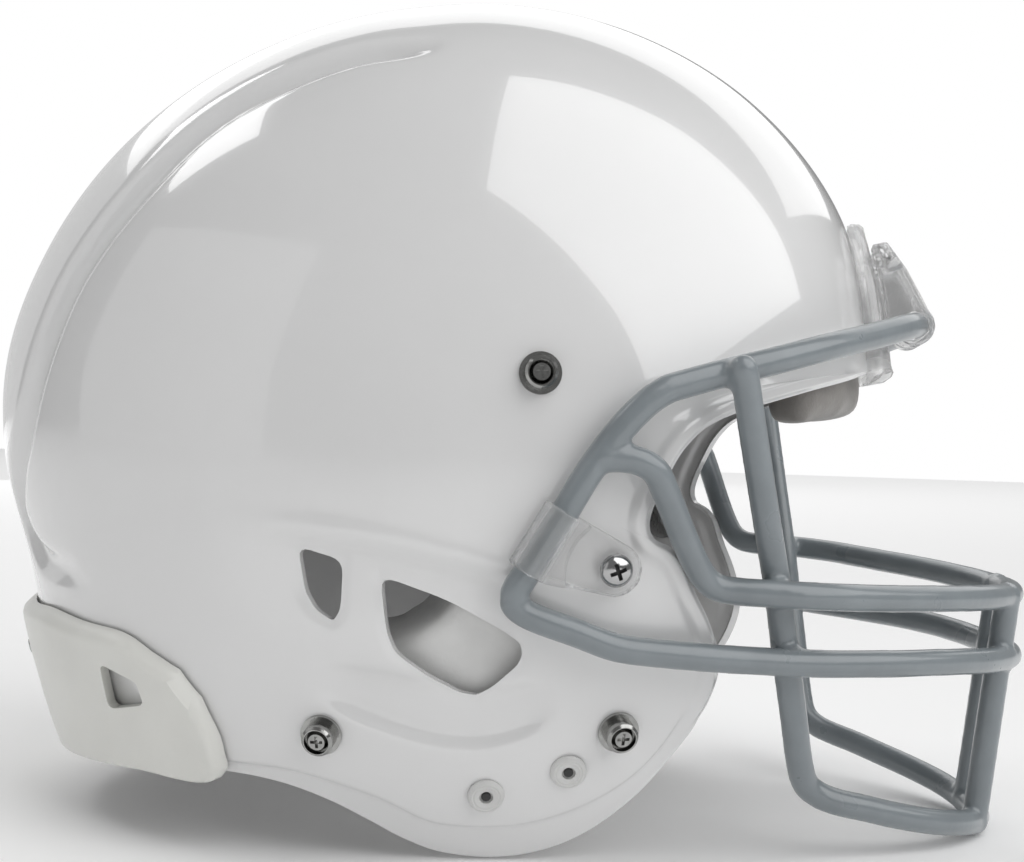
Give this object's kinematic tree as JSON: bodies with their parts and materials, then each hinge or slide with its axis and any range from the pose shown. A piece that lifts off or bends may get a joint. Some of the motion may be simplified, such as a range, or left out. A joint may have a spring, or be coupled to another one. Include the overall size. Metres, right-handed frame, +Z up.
{
  "type": "american football helmet",
  "caption": "American football helmet: hard shell with liner pads, bumpers, chin-strap studs and a wire face mask that swings up on its top straps",
  "frame": {"origin": "middle of the object's box at floor level, as it stands on its two jaws and the face mask", "axes": "+X to the face, +Y to the wearer's left, +Z up"},
  "size_m": [0.3418, 0.241, 0.2668],
  "materials": {
    "shell_white": "gloss",
    "clear_plastic": "gloss",
    "bumper_grey": "satin",
    "bright_steel": "polished",
    "dark_nickel": "satin",
    "pad_grey": "matte",
    "jaw_vinyl": "satin",
    "black_plastic": "matte",
    "white_rivet": "gloss",
    "mask_grey": "satin"
  },
  "bodies": {
    "helmet": {"shell": "shell_white", "front_bumper": "clear_plastic", "rear_bumper": "bumper_grey", "rear_bumper_screws": "bright_steel", "rear_bumper_nuts": "bright_steel", "crown_pad": "pad_grey", "front_pad": "pad_grey", "back_pad": "pad_grey", "side_pad_right": "pad_grey", "side_pad_left": "pad_grey", "jaw_pad_rivets_right": "white_rivet", "jaw_pad_rivets_left": "white_rivet", "chin_stud_upper_right": "dark_nickel", "chin_stud_upper_left": "dark_nickel", "chin_stud_rear_right": "dark_nickel", "chin_stud_rear_left": "dark_nickel", "chin_stud_front_right": "dark_nickel", "chin_stud_front_left": "dark_nickel", "chin_stud_screws": "dark_nickel", "chin_stud_nuts": "bright_steel", "top_strap_right": "clear_plastic", "top_strap_left": "clear_plastic", "top_strap_screws": "bright_steel", "top_strap_nuts": "bright_steel", "side_strap_right": "clear_plastic", "side_strap_left": "clear_plastic", "side_strap_screws": "bright_steel", "side_strap_nuts": "bright_steel"},
    "mask": {"mask_top_bar": "mask_grey", "mask_side_bar_right": "mask_grey", "mask_side_bar_left": "mask_grey", "mask_lower_bar": "mask_grey", "mask_upper_bar": "mask_grey", "mask_vertical_bar_right": "mask_grey", "mask_vertical_bar_left": "mask_grey", "mask_bottom_bar": "mask_grey", "mask_centre_bar_right": "mask_grey", "mask_centre_bar_left": "mask_grey"},
    "jaw_pad_right": {"jaw_pad_right": "jaw_vinyl", "jaw_pad_sockets_right": "black_plastic"},
    "jaw_pad_left": {"jaw_pad_left": "jaw_vinyl", "jaw_pad_sockets_left": "black_plastic"}
  },
  "joints": [
    {"name": "mask_swing", "type": "hinge", "parent": "helmet", "child": "mask", "pos_m": [0.13243, 0, 0.16181], "axis": [0, -1, 0], "range_deg": [0, 90], "deforming": ["side_strap_right", "side_strap_left"]},
    {"name": "jaw_pad_right_pull", "type": "slide", "parent": "helmet", "child": "jaw_pad_right", "axis": [-0.257, 0.9025, 0.3457], "range_m": [0, 0.02]},
    {"name": "jaw_pad_left_pull", "type": "slide", "parent": "helmet", "child": "jaw_pad_left", "axis": [-0.257, -0.9025, 0.3457], "range_m": [0, 0.02]}
  ]
}
